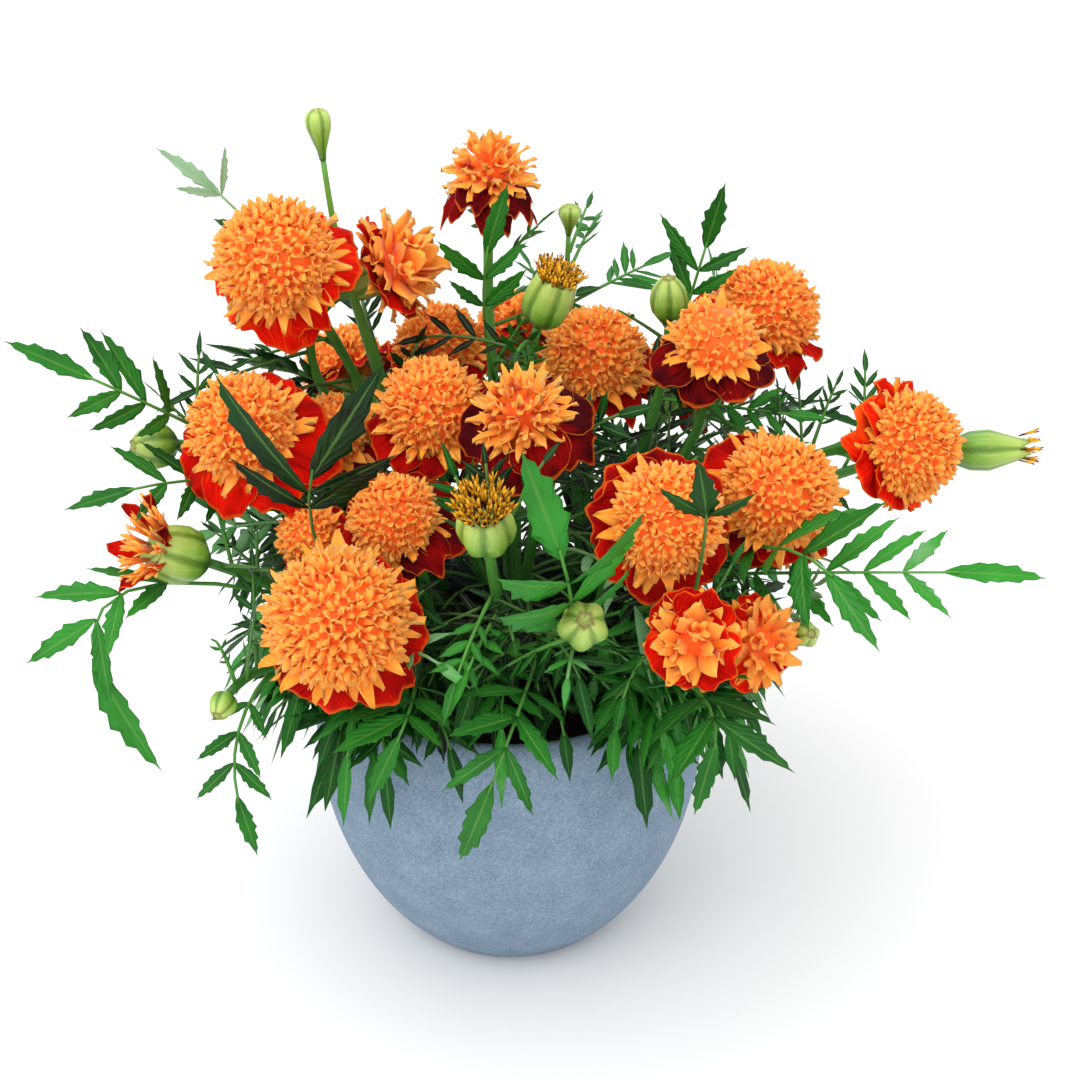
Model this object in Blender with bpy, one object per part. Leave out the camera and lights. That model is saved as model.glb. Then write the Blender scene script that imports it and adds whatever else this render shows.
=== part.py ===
"""A potted French marigold: five branching plants in one egg-shaped bowl of fibre clay.

Metres, +Z up. The origin is the centre of the pot's flat foot, and -Y is the front.
The green stems of one plant, with the calyx cups that hold its blooms, grew as one piece
and are one solid. Blooms, buds and large leaves are solids of their own, each seated on
the stem that carries it with a small seam.
"""

import math

import bmesh
import bpy
from mathutils import Matrix, Vector

MM = 0.001
SEAM = 0.35 * MM  # between two pieces that touch

# The pot: an egg-shaped shell, cut flat at the foot and at the rim.
POT_RADIUS = 70 * MM  # at the widest level
POT_HEIGHT = 112 * MM
POT_WIDEST = 80 * MM  # height of the widest level
POT_LOWER_STRETCH = 97 * MM  # half-axis of the egg below the widest level
POT_UPPER_STRETCH = 110 * MM  # and above it
POT_WALL = 5 * MM
POT_FLOOR = 8 * MM
FOOT_EDGE = 1.5 * MM
POT_STEPS = 36

# The soil, and the planting holes that the stems stand in.
SOIL_TOP = 99 * MM
SOIL_MOUND = 3 * MM
ROOT_DEPTH = 18 * MM
ROOT_RADIUS = 4.2 * MM
ROOT_STEPS = 10

# Stems: a slender stalk that swells into a calyx cup under a bloom.
STALK_BOTTOM = 2.0 * MM  # radius
STALK_TOP = 1.25 * MM
STALK_SIDES_STEP = 1  # Blender's bevel resolution 1 gives a six-sided stalk
STALK_POINTS = 8
CALYX_MOUTH = 5.0 * MM  # radius of the cup's mouth
CALYX_LENGTH = 16 * MM
CALYX_SHAPE = ((0.0, 0.34), (0.26, 0.84), (0.60, 1.12), (1.0, 1.0))  # along, radius
RAY_PETALS = 8
RAY_NOTCH = 0.90  # radius between two ray petals, as a share of their own
CREST_CENTRE = 0.75  # from the calyx mouth to the crest's centre, in crest radii

# Leaves: a rachis with toothed leaflets in pairs and one at the tip.
LEAF_THICKNESS = 0.8 * MM
RACHIS_HALF_WIDTH = 0.8 * MM
LEAFLET_WIDTH = 5.2  # millimetres
LEAFLET_SHAPE = ((0.34, 0.5), (0.68, 0.40))  # along the blade, half width
LEAFLET_SIZES = (0.68, 0.90, 0.82)  # of the pairs, from the foot, beside the longest

PLANTS = {  # where each plant's root collar stands
    "plant_1": (-27, -22),
    "plant_2": (-22, 24),
    "plant_3": (2, -2),
    "plant_4": (27, 22),
    "plant_5": (27, -24),
}

# Blooms: the plant, the centre of the crest in millimetres, the way the bloom faces,
# the radius of its crest and of its ray petals.
BLOOMS = {
    "bloom_01": ("plant_2", (-71, -20, 263), (-0.20, -0.70, 0.68), 20, 24),
    "bloom_02": ("plant_2", (-33, 10, 249), (0.85, -0.10, 0.45), 13, 17),
    "bloom_03": ("plant_3", (-5, 25, 277), (0.05, -0.15, 0.98), 11, 15),
    "bloom_04": ("plant_3", (-25, 40, 212), (-0.10, -0.30, 0.90), 16, 20),
    "bloom_05": ("plant_1", (-81, -45, 218), (-0.20, -0.60, 0.75), 18, 24),
    "bloom_06": ("plant_2", (-59, -11, 200), (-0.20, -0.40, 0.85), 15, 17),
    "bloom_07": ("plant_1", (-62, -52, 183), (-0.40, -0.60, 0.60), 11, 13),
    "bloom_08": ("plant_3", (-23, -24, 216), (0.00, -0.45, 0.88), 18, 21),
    "bloom_09": ("plant_3", (5, -54, 226), (-0.15, -0.55, 0.80), 12, 21),
    "bloom_10": ("plant_4", (30, 25, 214), (0.05, -0.35, 0.92), 19, 21),
    "bloom_11": ("plant_4", (66, -16, 235), (0.00, -0.38, 0.92), 14, 20),
    "bloom_12": ("plant_4", (90, 32, 228), (0.30, -0.30, 0.90), 19, 22),
    "bloom_13": ("plant_1", (-34, -61, 195), (-0.20, -0.52, 0.80), 15, 20),
    "bloom_14": ("plant_1", (-47, -107, 187), (-0.10, -0.68, 0.72), 22, 25),
    "bloom_15": ("plant_5", (49, -82, 204), (0.30, -0.80, 0.50), 18, 23),
    "bloom_16": ("plant_5", (86, -48, 197), (0.25, -0.65, 0.70), 20, 23),
    "bloom_17": ("plant_5", (134, -20, 198), (0.78, -0.55, 0.30), 19, 23),
    "bloom_18": ("plant_5", (54, -110, 180), (-0.10, -0.90, 0.45), 10, 17),
    "bloom_19": ("plant_5", (78, -84, 163), (0.45, -0.75, 0.45), 10, 14),
    "bloom_20": ("plant_2", (-64, 78, 188), (-0.50, 0.65, 0.62), 17, 21),
    "bloom_21": ("plant_4", (4, 92, 196), (-0.05, 0.70, 0.68), 19, 23),
    "bloom_22": ("plant_4", (66, 84, 182), (0.45, 0.68, 0.58), 16, 20),
}

# Buds and spent heads: the plant, the middle of the head, the way it points, its radius,
# its length and its outline from foot to tip.
CLOSED = ((0.0, 0.42), (0.22, 0.90), (0.50, 1.0), (0.78, 0.78), (1.0, 0.30))
CLUB = ((0.0, 0.22), (0.35, 0.55), (0.70, 1.0), (0.90, 0.92), (1.0, 0.60))
SPENT = ((0.0, 0.30), (0.20, 0.85), (0.45, 1.0), (0.66, 0.84), (0.72, 0.62), (1.0, 0.72))
POD = ((0.0, 0.30), (0.25, 0.88), (0.48, 1.0), (0.74, 0.66), (0.84, 0.36), (1.0, 0.30))
BUDS = {
    "opening_bud": ("plant_1", (-104, -58, 180), (-0.70, -0.45, 0.50), 9, 30, SPENT),
    "spent_head_front": ("plant_3", (-4, -108, 217), (-0.05, -0.40, 0.90), 8, 24, SPENT),
    "spent_head_back": ("plant_3", (14, -2, 242), (0.30, -0.25, 0.92), 8, 25, SPENT),
    "seed_head_right": ("plant_4", (164, 8, 183), (0.98, -0.12, 0.10), 7, 33, POD),
    "bud_1": ("plant_2", (-57, 5, 292), (-0.06, 0.00, 1.00), 4, 16, CLUB),
    "bud_2": ("plant_4", (21, 50, 250), (0.05, -0.10, 1.00), 4, 11, CLUB),
    "bud_3": ("plant_4", (53, 10, 236), (-0.05, -0.10, 1.00), 6, 17, CLOSED),
    "bud_4": ("plant_2", (-112, -24, 200), (-0.80, -0.45, 0.15), 7, 15, CLOSED),
    "bud_5": ("plant_3", (23, -108, 184), (0.05, -0.72, 0.66), 7, 16, CLOSED),
    "bud_6": ("plant_1", (-84, -93, 147), (-0.20, -0.85, -0.15), 4, 10, CLOSED),
    "bud_7": ("plant_5", (92, -74, 160), (0.20, -0.75, 0.50), 4, 10, CLOSED),
}

# Leaves: the head whose stalk carries it, how far up that stalk, the middle and the tip of
# the leaf in millimetres, its bare leafstalk and its longest leaflet as shares of its
# length, and its pairs of leaflets.
LEAVES = {
    "leaf_left_upper": ("bud_4", 0.86, (-118, -44, 229), (-147, -50, 246), 0.22, 0.31, 3),
    "leaf_top_left": ("bloom_01", 0.74, (-92, 8, 274), (-108, 5, 289), 0.45, 0.30, 2),
    "leaf_left_arching": ("opening_bud", 0.72, (-128, -70, 168), (-110, -84, 113), 0.20, 0.30, 3),
    "leaf_left_middle": ("bud_4", 0.62, (-114, -50, 198), (-134, -58, 194), 0.30, 0.30, 3),
    "leaf_low_left": ("bud_6", 0.60, (-82, -78, 136), (-76, -100, 95), 0.20, 0.28, 3),
    "leaf_front_left": ("bloom_14", 0.62, (-56, -80, 216), (-32, -96, 256), 0.42, 0.36, 2),
    "leaf_centre": ("bud_5", 0.66, (18, -124, 216), (6, -132, 251), 0.24, 0.32, 4),
    "leaf_front_right": ("bloom_18", 0.88, (58, -104, 212), (52, -136, 246), 0.45, 0.36, 2),
    "leaf_right_broad": ("bloom_16", 0.62, (98, -88, 190), (108, -104, 172), 0.28, 0.30, 4),
    "leaf_right_long": ("bloom_17", 0.40, (118, -58, 173), (170, -56, 171), 0.22, 0.27, 5),
    "leaf_over_rim_right": ("bloom_19", 0.45, (64, -118, 152), (56, -116, 124), 0.25, 0.30, 4),
    "leaf_over_rim_front": ("bud_5", 0.42, (2, -122, 152), (-13, -119, 106), 0.20, 0.26, 4),
    "leaf_over_rim_left": ("bloom_14", 0.36, (-28, -112, 150), (-40, -113, 126), 0.28, 0.30, 3),
    "leaf_top_right": ("bud_3", 0.78, (64, 18, 252), (70, 10, 276), 0.28, 0.34, 3),
    "leaf_top_middle": ("bloom_03", 0.62, (-7, 2, 258), (0, -6, 279), 0.28, 0.32, 3),
    "leaf_back_left": ("bloom_20", 0.46, (-94, 58, 166), (-124, 70, 152), 0.24, 0.30, 4),
    "leaf_back": ("bloom_21", 0.52, (26, 106, 158), (34, 126, 130), 0.24, 0.30, 4),
    "leaf_back_right": ("bloom_22", 0.55, (106, 62, 176), (138, 60, 166), 0.24, 0.30, 4),
}


def new_material(name, colour, roughness):
    """A plain material of one colour, given as linear red, green and blue."""
    material = bpy.data.materials.new(name)
    material.use_nodes = True
    shader = material.node_tree.nodes["Principled BSDF"]
    shader.inputs["Base Color"].default_value = (*colour, 1)
    shader.inputs["Roughness"].default_value = roughness
    shader.inputs["Metallic"].default_value = 0.0
    return material


def new_object(name, mesh, material):
    obj = bpy.data.objects.new(name, mesh)
    bpy.context.scene.collection.objects.link(obj)
    if material:
        mesh.materials.append(material)
    return obj


def as_guide(obj):
    """A cutter or a shape to be joined: it isn't a piece of the object itself."""
    obj.hide_render = True
    obj.display_type = "WIRE"
    return obj


def turned_mesh(name, profile, steps):
    """A closed profile of (radius, height) points, foot first, turned about +Z."""
    bm = bmesh.new()
    points = [bm.verts.new((radius, 0, height)) for radius, height in profile]
    edges = [bm.edges.new(pair) for pair in zip(points, points[1:])]
    bmesh.ops.spin(
        bm,
        geom=points + edges,
        cent=(0, 0, 0),
        axis=(0, 0, 1),
        angle=math.tau,
        steps=steps,
        use_merge=True,
    )
    bmesh.ops.remove_doubles(bm, verts=bm.verts, dist=0.01 * MM)
    bmesh.ops.recalc_face_normals(bm, faces=bm.faces)
    mesh = bpy.data.meshes.new(name)
    bm.to_mesh(mesh)
    bm.free()
    mesh.shade_smooth()
    return mesh


def aim(point, direction):
    """The matrix that takes local +Z to direction and the local origin to point."""
    turn = Vector(direction).to_track_quat("Z", "Y").to_matrix().to_4x4()
    return Matrix.Translation(point) @ turn


def pot_radius(height):
    """Outer radius of the pot at a height above the foot."""
    above = height - POT_WIDEST
    stretch = POT_UPPER_STRETCH if above > 0 else POT_LOWER_STRETCH
    return POT_RADIUS * math.sqrt(1 - (above / stretch) ** 2)


def evenly(first, last, count):
    return [first + (last - first) * i / (count - 1) for i in range(count)]


def inner_profile(bottom, top, count):
    """Points up the pot's inner wall, a wall's thickness inside the outer one."""
    return [(pot_radius(h) - POT_WALL, h) for h in evenly(bottom, top, count)]


def make_pot(material):
    outside = [(pot_radius(h), h) for h in evenly(2 * FOOT_EDGE, POT_HEIGHT - 2 * MM, 9)]
    rim_outer = pot_radius(POT_HEIGHT)
    lip = [(rim_outer - 1 * MM, POT_HEIGHT), (rim_outer - POT_WALL + 1 * MM, POT_HEIGHT)]
    inside = inner_profile(POT_FLOOR + 3 * MM, POT_HEIGHT - 2 * MM, 7)[::-1]
    floor_radius = pot_radius(POT_FLOOR) - POT_WALL - 4 * MM
    profile = [(0, 0), (pot_radius(0) - FOOT_EDGE, 0)] + outside + lip + inside
    profile += [(floor_radius, POT_FLOOR), (0, POT_FLOOR)]
    return new_object("pot", turned_mesh("pot", profile, POT_STEPS), material)


def make_soil(material):
    """The potting mix, shaped by the pot, with one planting hole for each plant."""
    gap = 2 * SEAM
    wall = [(r - gap, h) for r, h in inner_profile(POT_FLOOR + 4 * MM, SOIL_TOP, 6)]
    floor_radius = pot_radius(POT_FLOOR) - POT_WALL - 5 * MM
    mound = [(wall[-1][0] * share, SOIL_TOP + SOIL_MOUND * (1 - share**2)) for share in (0.66, 0.33)]
    profile = [(0, POT_FLOOR + gap), (floor_radius, POT_FLOOR + gap)] + wall + mound
    profile += [(0, SOIL_TOP + SOIL_MOUND)]
    soil = new_object("soil", turned_mesh("soil", profile, POT_STEPS), material)
    for plant in PLANTS:
        hole = as_guide(root_collar(plant + "_hole", plant, ROOT_RADIUS + SEAM, SEAM, 8 * MM))
        cut = soil.modifiers.new(plant, "BOOLEAN")
        cut.operation = "DIFFERENCE"
        cut.object = hole
    return soil


def root_collar(name, plant, radius, deeper, higher):
    """The short upright cylinder at a plant's foot, in the soil."""
    x, y = PLANTS[plant]
    low = SOIL_TOP - ROOT_DEPTH - deeper
    high = SOIL_TOP + SOIL_MOUND + higher
    bm = bmesh.new()
    bmesh.ops.create_cone(
        bm,
        cap_ends=True,
        segments=ROOT_STEPS,
        radius1=radius,
        radius2=radius,
        depth=high - low,
        matrix=Matrix.Translation((x * MM, y * MM, (low + high) / 2)),
    )
    mesh = bpy.data.meshes.new(name)
    bm.to_mesh(mesh)
    bm.free()
    return new_object(name, mesh, None)


def bezier(points, share):
    a, b, c, d = points
    rest = 1 - share
    return a * rest**3 + b * 3 * share * rest**2 + c * 3 * share**2 * rest + d * share**3


def head_foot(head):
    """(plant, foot of the head on its stalk, the way it faces, crest radius or 0)."""
    if head in BLOOMS:
        plant, centre, facing, crest, _ = BLOOMS[head]
        facing = Vector(facing).normalized()
        return plant, (Vector(centre) - facing * CREST_CENTRE * crest) * MM, facing, crest * MM
    plant, middle, facing, _, length, _ = BUDS[head]
    facing = Vector(facing).normalized()
    return plant, (Vector(middle) - facing * length / 2) * MM, facing, 0.0


def stalk_line(head):
    """The stalk from the root collar to the head, as (point, radius) pairs."""
    plant, foot, facing, crest = head_foot(head)
    x, y = PLANTS[plant]
    start = Vector((x * MM, y * MM, SOIL_TOP + SOIL_MOUND - 2 * MM))
    calyx = CALYX_LENGTH if crest else 0.0
    end = foot - facing * calyx
    reach = (end - start).length
    rise = Vector((end.x - start.x, end.y - start.y, 0)) * 0.22
    rise.z = max(0.42 * (end.z - start.z), 16 * MM)
    handles = (start, start + rise, end - facing * 0.30 * reach, end)
    line = []
    for share in evenly(0, 1, STALK_POINTS):
        radius = STALK_BOTTOM + (STALK_TOP - STALK_BOTTOM) * share
        line.append((bezier(handles, share), radius))
    if crest:
        for along, width in CALYX_SHAPE[1:]:
            line.append((end + facing * calyx * along, CALYX_MOUTH * width))
    return line


def stalk_mesh(head):
    """A stalk as a closed tube whose radius follows its line."""
    line = stalk_line(head)
    curve = bpy.data.curves.new(head, "CURVE")
    curve.dimensions = "3D"
    curve.bevel_depth = MM
    curve.bevel_resolution = STALK_SIDES_STEP
    curve.use_fill_caps = True
    spline = curve.splines.new("POLY")
    spline.points.add(len(line) - 1)
    for point, (place, radius) in zip(spline.points, line):
        point.co = (*place, 1)
        point.radius = radius / MM
    sweep = bpy.data.objects.new(head, curve)
    mesh = bpy.data.meshes.new_from_object(sweep)
    bpy.data.objects.remove(sweep)
    bm = bmesh.new()
    bm.from_mesh(mesh)
    bmesh.ops.remove_doubles(bm, verts=bm.verts, dist=0.01 * MM)
    bmesh.ops.recalc_face_normals(bm, faces=bm.faces)
    bm.to_mesh(mesh)
    bm.free()
    return mesh


def make_stems(plant, material):
    """All the stalks of one plant, joined at its root collar."""
    stems = root_collar(plant + "_stems", plant, ROOT_RADIUS, 0, 1 * MM)
    stems.data.materials.append(material)
    stalks = bpy.data.collections.new(plant + "_stalks")
    bpy.context.scene.collection.children.link(stalks)
    for head in [*BLOOMS, *BUDS]:
        if head_foot(head)[0] == plant:
            stalk = as_guide(bpy.data.objects.new(head + "_stalk", stalk_mesh(head)))
            stalks.objects.link(stalk)
    join = stems.modifiers.new("stalks", "BOOLEAN")
    join.operation = "UNION"
    join.operand_type = "COLLECTION"
    join.collection = stalks
    return stems


def make_bloom(name, material):
    """One flower head: a skirt of ray petals under a domed crest of florets."""
    _, _, _, crest, rays = BLOOMS[name]
    crest, rays = crest * MM, rays * MM
    _, foot, facing, _ = head_foot(name)
    skirt = 0.22 * crest
    profile = [
        (0, SEAM),
        (CALYX_MOUTH, SEAM),
        (rays, skirt),
        (rays, skirt + 1.2 * MM),
        (0.86 * crest, skirt + 2 * MM),
        (crest, 0.62 * crest),
        (0.80 * crest, 1.08 * crest),
        (0.42 * crest, 1.34 * crest),
        (0, 1.40 * crest),
    ]
    mesh = turned_mesh(name, profile, 2 * RAY_PETALS)
    for vertex in mesh.vertices:
        place = vertex.co
        turn = round(math.atan2(place.y, place.x) / (math.pi / RAY_PETALS))
        if math.hypot(place.x, place.y) > 0.99 * rays and turn % 2:
            place.x, place.y = place.x * RAY_NOTCH, place.y * RAY_NOTCH
    bloom = new_object(name, mesh, material)
    bloom.matrix_world = aim(foot, facing)
    return bloom


def make_bud(name, material):
    _, _, _, radius, length, outline = BUDS[name]
    _, foot, facing, _ = head_foot(name)
    top = length * MM
    profile = [(0, SEAM)]
    profile += [(radius * MM * width, max(along * top, SEAM)) for along, width in outline]
    profile += [(0, top)]
    bud = new_object(name, turned_mesh(name, profile, 8), material)
    bud.matrix_world = aim(foot, facing)
    return bud


def point_up_stalk(head, share):
    """The point at a share of the stalk's length, and the stalk's radius there."""
    line = stalk_line(head)
    place = share * (STALK_POINTS - 1)
    lower = min(int(place), STALK_POINTS - 2)
    (a, radius_a), (b, radius_b) = line[lower], line[lower + 1]
    return a.lerp(b, place - lower), max(radius_a, radius_b), (b - a).normalized()


def leaf_curve(name):
    """Start, bend and tip of a leaf's midline. The bend is set so that it passes the middle."""
    head, share, middle, tip = LEAVES[name][:4]
    point, radius, along = point_up_stalk(head, share)
    middle, tip = Vector(middle) * MM, Vector(tip) * MM
    away = middle - point
    away = (away - along * away.dot(along)).normalized()
    start = point + away * (radius + 1.6 * SEAM)
    bend = 2 * middle - 0.5 * (start + tip)
    return start, bend, tip


def midline(curve, share):
    """Point and direction at a share of a leaf's midline."""
    start, bend, tip = curve
    rest = 1 - share
    point = start * rest**2 + bend * 2 * rest * share + tip * share**2
    return point, ((bend - start) * rest + (tip - bend) * share).normalized()


def add_leaflet(bm, base, root, direction, size, width):
    """A lance-shaped blade that widens from two base points and ends in one."""
    sideways = (base[1].co - base[0].co).normalized()
    last = base
    for along, half in LEAFLET_SHAPE:
        centre = root + direction * size * along
        row = [bm.verts.new(centre + sideways * width * half * s) for s in (-1, 1)]
        bm.faces.new((last[0], last[1], row[1], row[0]))
        last = row
    bm.faces.new((last[0], last[1], bm.verts.new(root + direction * size)))


def leaf_sheet(curve, bare, longest, pairs):
    """The leaf without thickness: rachis, leaflets in pairs and a leaflet at the tip."""
    steps = evenly(0, 1, 9)
    length = sum((midline(curve, b)[0] - midline(curve, a)[0]).length for a, b in zip(steps, steps[1:]))
    tip_from = 1 - longest
    half_step = 0.45 * LEAFLET_WIDTH * MM / length
    stations = [0.0]
    for pair in range(pairs):
        middle = bare + (tip_from - bare) * pair / pairs + half_step
        stations += [middle - half_step, middle + half_step]
    stations.append(tip_from)
    chord = (curve[2] - curve[0]).normalized()
    flat = chord.cross(Vector((0, 0, 1)))
    across = flat.normalized() if flat.length > 0.5 else chord.cross(Vector((0, -1, 0))).normalized()
    bm = bmesh.new()
    rows = []
    for share in stations:
        point, _ = midline(curve, share)
        rows.append([bm.verts.new(point + across * RACHIS_HALF_WIDTH * side) for side in (-1, 1)])
    for low, high in zip(rows, rows[1:]):
        bm.faces.new((low[0], low[1], high[1], high[0]))
    for pair in range(pairs):
        low, high = rows[2 * pair + 1], rows[2 * pair + 2]
        _, along = midline(curve, stations[2 * pair + 1])
        size = length * longest * LEAFLET_SIZES[min(pair, 2)]
        for side in (0, 1):
            direction = (across * (-0.75, 0.75)[side] + along * 0.66).normalized()
            base = (low[side], high[side]) if side else (high[side], low[side])
            root = (low[side].co + high[side].co) / 2
            add_leaflet(bm, base, root, direction, size, LEAFLET_WIDTH * MM)
    root, _ = midline(curve, tip_from)
    direction = curve[2] - root
    add_leaflet(bm, rows[-1], root, direction.normalized(), direction.length, 1.2 * LEAFLET_WIDTH * MM)
    bmesh.ops.recalc_face_normals(bm, faces=bm.faces)
    return bm


def make_leaf(name, material):
    """A feathered leaf, one thin solid."""
    bm = leaf_sheet(leaf_curve(name), *LEAVES[name][4:])
    mesh = bpy.data.meshes.new(name)
    bm.to_mesh(mesh)
    bm.free()
    leaf = new_object(name, mesh, material)
    thicken = leaf.modifiers.new("thickness", "SOLIDIFY")
    thicken.thickness = LEAF_THICKNESS
    thicken.offset = 0
    return leaf


def main():
    for obj in list(bpy.data.objects):
        bpy.data.objects.remove(obj)
    clay = new_material("fibre_clay", (0.25, 0.34, 0.43), 0.85)
    earth = new_material("potting_mix", (0.035, 0.022, 0.014), 0.95)
    green = new_material("stem_green", (0.10, 0.27, 0.06), 0.55)
    leaf_green = new_material("leaf_green", (0.03, 0.19, 0.04), 0.50)
    petal = new_material("orange_petal", (0.95, 0.28, 0.02), 0.60)
    bud_green = new_material("bud_green", (0.35, 0.55, 0.12), 0.50)
    make_pot(clay)
    make_soil(earth)
    for plant in PLANTS:
        make_stems(plant, green)
    for name in BLOOMS:
        make_bloom(name, petal)
    for name in BUDS:
        make_bud(name, bud_green)
    for name in LEAVES:
        make_leaf(name, leaf_green)


main()
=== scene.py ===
import heapq
import math
import random

import bmesh
import bpy
import numpy as np
from mathutils import Matrix, Vector, noise
from mathutils.kdtree import KDTree


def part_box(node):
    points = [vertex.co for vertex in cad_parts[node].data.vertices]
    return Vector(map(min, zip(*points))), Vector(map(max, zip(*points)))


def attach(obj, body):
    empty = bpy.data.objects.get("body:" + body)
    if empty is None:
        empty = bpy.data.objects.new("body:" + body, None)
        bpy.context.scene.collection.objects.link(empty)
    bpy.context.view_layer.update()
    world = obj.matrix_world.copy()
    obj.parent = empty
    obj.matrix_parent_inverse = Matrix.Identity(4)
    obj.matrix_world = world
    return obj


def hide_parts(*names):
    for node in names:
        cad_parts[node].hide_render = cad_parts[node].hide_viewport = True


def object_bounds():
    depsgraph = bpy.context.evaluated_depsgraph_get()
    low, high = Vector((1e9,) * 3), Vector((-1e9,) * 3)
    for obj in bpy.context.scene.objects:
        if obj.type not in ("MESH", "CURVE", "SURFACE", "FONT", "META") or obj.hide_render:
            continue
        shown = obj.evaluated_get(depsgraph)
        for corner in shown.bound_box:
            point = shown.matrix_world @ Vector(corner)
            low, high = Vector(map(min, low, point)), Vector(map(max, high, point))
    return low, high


# Potted French marigolds: five plants in an egg-shaped bowl of cast fibre clay.
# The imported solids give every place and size. Each piece here is the fine surface of one
# of them, and the small leaves sprout from the stems that the solids give.

mm = 0.001
goldenTurn = math.pi * (3 - math.sqrt(5))

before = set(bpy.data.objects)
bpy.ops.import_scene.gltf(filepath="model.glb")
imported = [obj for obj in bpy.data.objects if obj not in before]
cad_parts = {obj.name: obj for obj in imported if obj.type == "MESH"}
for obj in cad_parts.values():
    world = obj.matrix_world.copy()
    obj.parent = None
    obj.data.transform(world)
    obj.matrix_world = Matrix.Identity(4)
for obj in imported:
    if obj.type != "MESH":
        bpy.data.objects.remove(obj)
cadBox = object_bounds()
plants = sorted(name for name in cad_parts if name.endswith("_stems"))
blooms = sorted(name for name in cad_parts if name.startswith("bloom_"))
leaves = sorted(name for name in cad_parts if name.startswith("leaf_"))
print("frame:", len(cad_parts), "solids")


# Small tools

def toLinear(code):
    # an sRGB hex colour as the linear values that a shader takes
    parts = [int(code[i:i + 2], 16) / 255 for i in (1, 3, 5)]
    return [c / 12.92 if c <= 0.04045 else ((c + 0.055) / 1.055) ** 2.4 for c in parts] + [1.0]


def perMetre(millimetres):
    # the scale of a pattern whose marks are this big
    return 1000 / millimetres


def plug(tree, node, links):
    # feeds a node's inputs; a node given as a source stands for its first output
    for name, source in links.items():
        socket = source.outputs[0] if isinstance(source, bpy.types.Node) else source
        tree.links.new(socket, node.inputs[name])


def addNode(tree, kind, settings=None, links=None):
    # one shader node: settings fill its sockets, its options or its colour stops
    node = tree.nodes.new("ShaderNode" + kind)
    for name, value in (settings or {}).items():
        if name == "stops":
            ramp = node.color_ramp
            while len(ramp.elements) < len(value):
                ramp.elements.new(0.5)
            for element, (place, code) in zip(ramp.elements, value):
                element.position = place
                element.color = toLinear(code)
        elif isinstance(name, int) or name in node.inputs:
            node.inputs[name].default_value = value
        else:
            setattr(node, name, value)
    plug(tree, node, links or {})
    return node


def newMaterial(name, **sockets):
    # a principled shader with the finish that is the same all over
    material = bpy.data.materials.new(name)
    material.use_nodes = True
    shader = material.node_tree.nodes["Principled BSDF"]
    for socket, value in sockets.items():
        shader.inputs[socket.replace("_", " ")].default_value = value
    return material, material.node_tree, shader


def smoothStep(low, high, value):
    share = min(1.0, max(0.0, (value - low) / (high - low)))
    return share * share * (3 - 2 * share)


def aimed(place, facing, spin=0.0):
    # local +Z turned to facing, after a spin about it, and the origin put at place
    turn = facing.to_track_quat("Z", "Y").to_matrix().to_4x4()
    return Matrix.Translation(place) @ turn @ Matrix.Rotation(spin, 4, "Z")


def framed(place, side, along, up):
    # local X, Y and Z turned to three directions that may carry a scale
    matrix = Matrix((side, along, up)).transposed().to_4x4()
    matrix.translation = place
    return matrix


restShapes = {}  # of each small mesh that is copied many times, its untouched points


def addCopy(bm, template, matrix, tone):
    # one copy of a small mesh, with its own tone for the material
    rest = restShapes[template.name]
    turned = rest @ np.array(matrix.to_3x3()).T + np.array(matrix.translation)
    template.vertices.foreach_set("co", turned.ravel())
    template.attributes["tone"].data.foreach_set("value", np.full(len(rest), tone))
    bm.from_mesh(template)


def newBmesh():
    bm = bmesh.new()
    bm.loops.layers.uv.new("UVMap")
    bm.verts.layers.float.new("tone")
    return bm


def writeUv(bm, place):
    # UV of each corner from its vertex: place(co) gives across and along
    uv = bm.loops.layers.uv["UVMap"]
    for face in bm.faces:
        for loop in face.loops:
            loop[uv].uv = place(loop.vert.co)


def asTemplate(name, bm):
    bmesh.ops.recalc_face_normals(bm, faces=bm.faces)
    mesh = bpy.data.meshes.new(name)
    bm.to_mesh(mesh)
    bm.free()
    points = np.empty(len(mesh.vertices) * 3)
    mesh.vertices.foreach_get("co", points)
    restShapes[mesh.name] = points.reshape(-1, 3)
    return mesh


def newPiece(name, bm, material, slot, *nodes):
    # a finished piece: its place is in its mesh, and it rides on the one body
    mesh = bpy.data.meshes.new(name)
    bm.to_mesh(mesh)
    bm.free()
    mesh.shade_smooth()
    mesh.materials.append(material)
    piece = bpy.data.objects.new(name, mesh)
    bpy.context.scene.collection.objects.link(piece)
    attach(piece, "root")
    if nodes:
        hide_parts(*nodes)
    return piece


def spunBmesh(profile, steps):
    # a turned shape: (radius, height) points spun about +Z
    bm = newBmesh()
    points = [bm.verts.new((radius, 0, height)) for radius, height in profile]
    edges = [bm.edges.new(pair) for pair in zip(points, points[1:])]
    bmesh.ops.spin(bm, geom=points + edges, cent=(0, 0, 0), axis=(0, 0, 1), angle=math.tau,
                   steps=steps, use_merge=True)
    bmesh.ops.remove_doubles(bm, verts=bm.verts, dist=0.01 * mm)
    bmesh.ops.recalc_face_normals(bm, faces=bm.faces)
    return bm


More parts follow.
